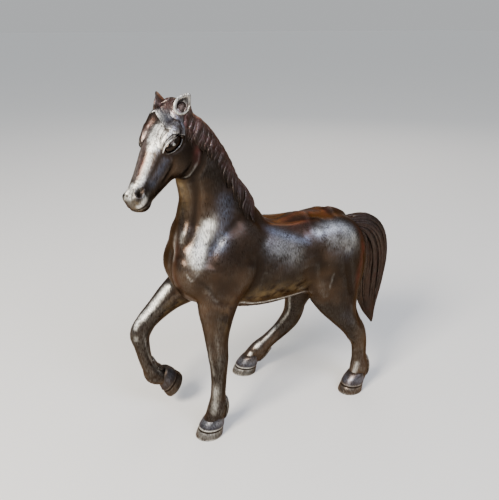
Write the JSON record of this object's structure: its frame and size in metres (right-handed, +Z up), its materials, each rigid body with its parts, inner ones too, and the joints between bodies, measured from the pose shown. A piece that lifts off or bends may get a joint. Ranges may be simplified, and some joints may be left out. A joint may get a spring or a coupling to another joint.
{
  "type": "bronze horse figurine",
  "caption": "Cast bronze figurine of a walking horse, one foreleg raised, head turned, with a flowing tail. It stands on its own hooves.",
  "frame": {"origin": "on the ground under the middle of the horse's bounding box", "axes": "+Z up; the horse faces -X and its left side faces -Y"},
  "size_m": [0.2046, 0.0754, 0.2261],
  "materials": {
    "patinated_bronze": "dark brown patina over cast bronze, rubbed bright on raised forms, fine brushed marks"
  },
  "bodies": {
    "root": {"horse": "patinated_bronze"}
  },
  "joints": []
}
